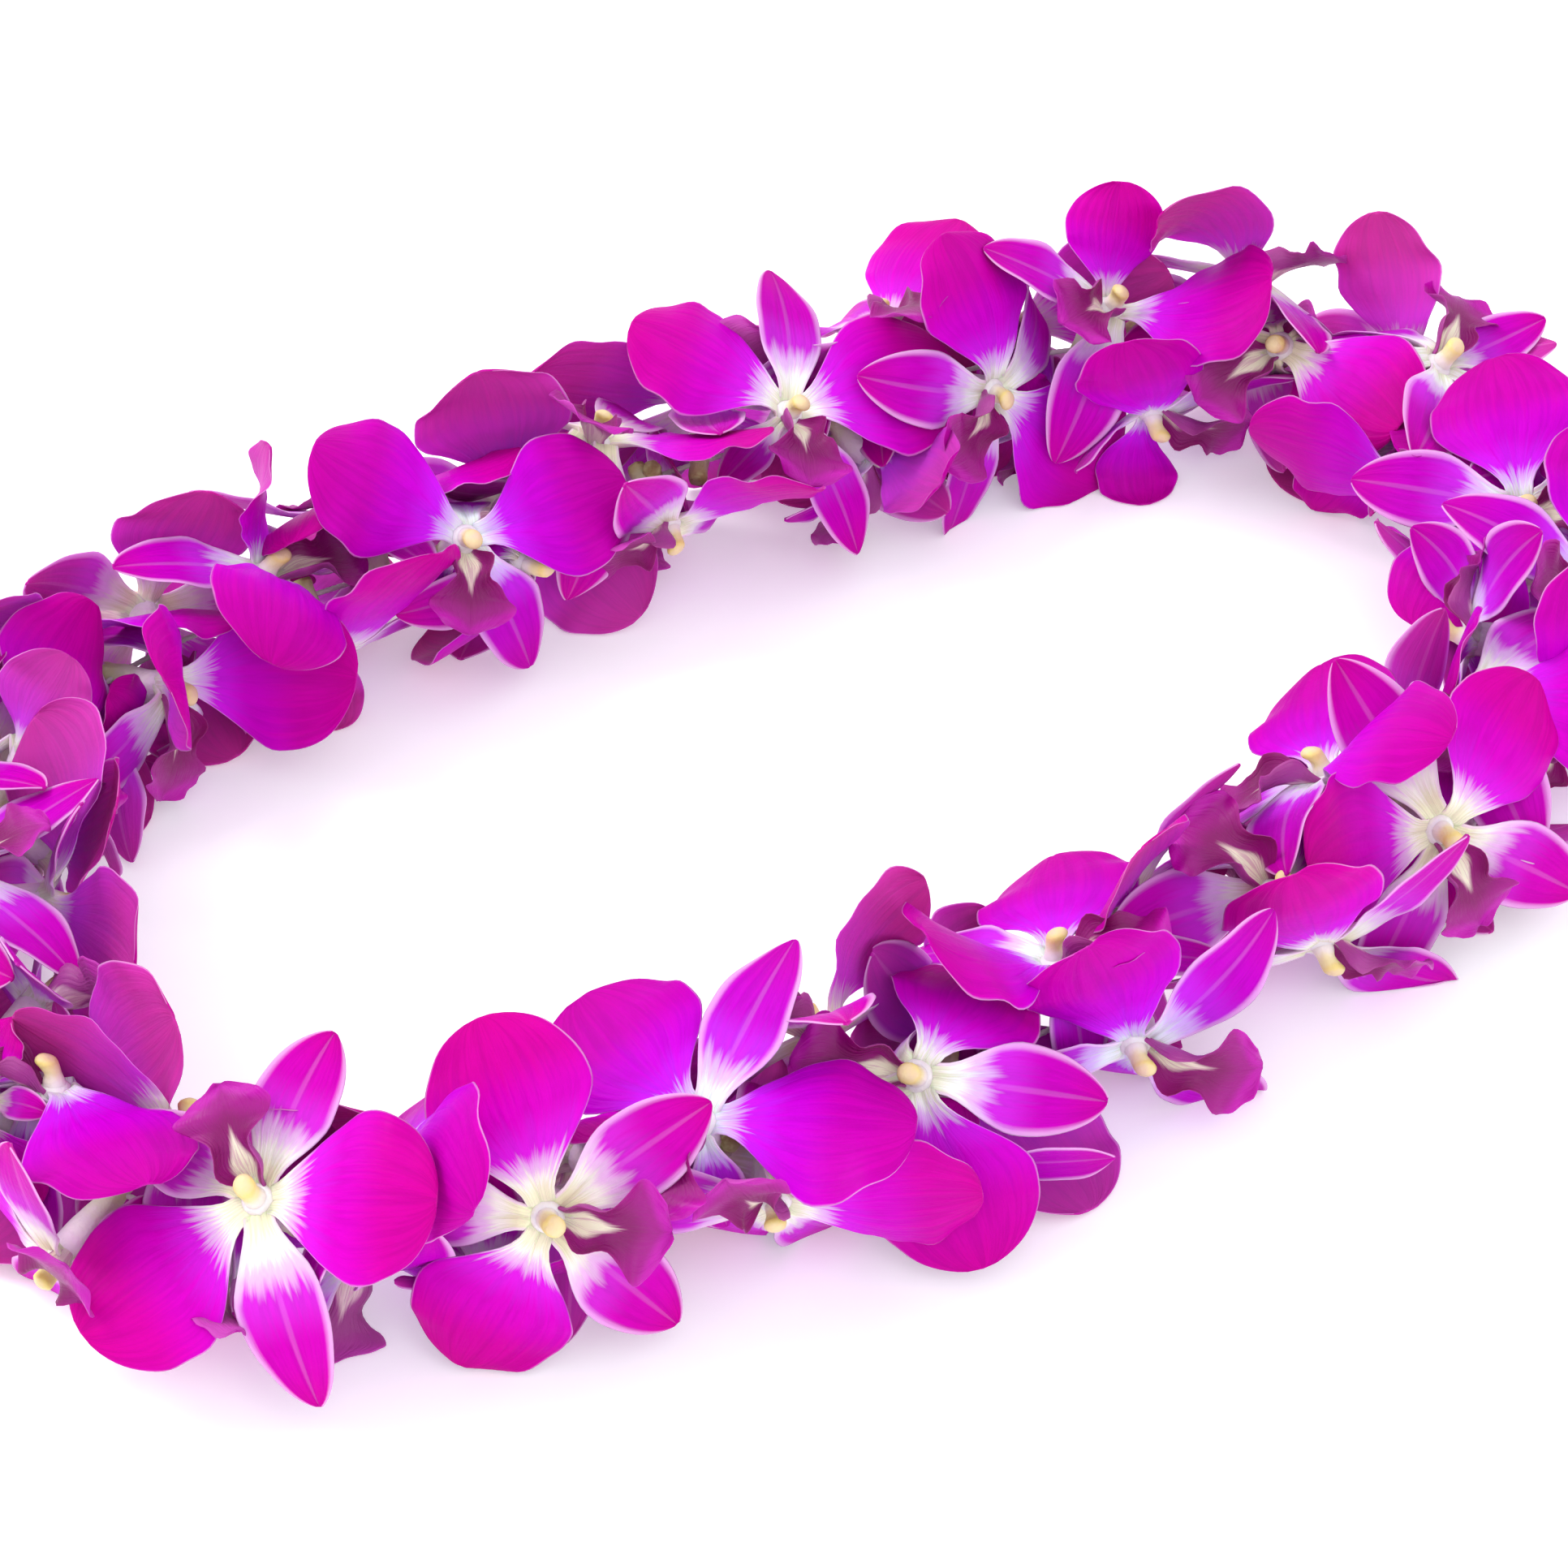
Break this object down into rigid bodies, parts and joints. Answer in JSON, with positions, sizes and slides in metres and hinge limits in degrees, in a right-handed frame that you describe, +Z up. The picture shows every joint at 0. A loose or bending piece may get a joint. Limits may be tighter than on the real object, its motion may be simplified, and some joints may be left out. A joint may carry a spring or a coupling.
{
  "type": "fresh flower lei",
  "caption": "Fresh flower lei: a closed ring of magenta and white dendrobium orchid blooms threaded on one knotted string, lying on a surface, worn round the neck",
  "frame": {"origin": "on the surface that the lei rests on, under the middle of its box", "axes": "+X along the ring's longest way, +Y across the ring, +Z up from the resting surface"},
  "size_m": [0.412, 0.2636, 0.0694],
  "materials": {
    "orchid_bloom": "soft waxy petals, magenta with white bases",
    "cotton_string": "matt twisted cotton"
  },
  "bodies": {
    "root": {"orchid_01": "orchid_bloom", "orchid_02": "orchid_bloom", "orchid_03": "orchid_bloom", "orchid_04": "orchid_bloom", "orchid_05": "orchid_bloom", "orchid_06": "orchid_bloom", "orchid_07": "orchid_bloom", "orchid_08": "orchid_bloom", "orchid_09": "orchid_bloom", "orchid_10": "orchid_bloom", "orchid_11": "orchid_bloom", "orchid_12": "orchid_bloom", "orchid_13": "orchid_bloom", "orchid_14": "orchid_bloom", "orchid_15": "orchid_bloom", "orchid_16": "orchid_bloom", "orchid_17": "orchid_bloom", "orchid_18": "orchid_bloom", "orchid_19": "orchid_bloom", "orchid_20": "orchid_bloom", "orchid_21": "orchid_bloom", "orchid_22": "orchid_bloom", "orchid_23": "orchid_bloom", "orchid_24": "orchid_bloom", "orchid_25": "orchid_bloom", "orchid_26": "orchid_bloom", "orchid_27": "orchid_bloom", "orchid_28": "orchid_bloom", "orchid_29": "orchid_bloom", "orchid_30": "orchid_bloom", "orchid_31": "orchid_bloom", "orchid_32": "orchid_bloom", "orchid_33": "orchid_bloom", "orchid_34": "orchid_bloom", "orchid_35": "orchid_bloom", "orchid_36": "orchid_bloom", "orchid_37": "orchid_bloom", "orchid_38": "orchid_bloom", "orchid_39": "orchid_bloom", "orchid_40": "orchid_bloom", "orchid_41": "orchid_bloom", "orchid_42": "orchid_bloom", "orchid_43": "orchid_bloom", "orchid_44": "orchid_bloom", "orchid_45": "orchid_bloom", "orchid_46": "orchid_bloom", "orchid_47": "orchid_bloom", "orchid_48": "orchid_bloom", "orchid_49": "orchid_bloom", "orchid_50": "orchid_bloom", "orchid_51": "orchid_bloom", "orchid_52": "orchid_bloom", "orchid_53": "orchid_bloom", "orchid_54": "orchid_bloom", "orchid_55": "orchid_bloom", "orchid_56": "orchid_bloom", "orchid_57": "orchid_bloom", "orchid_58": "orchid_bloom", "orchid_59": "orchid_bloom", "string": "cotton_string"}
  },
  "joints": []
}
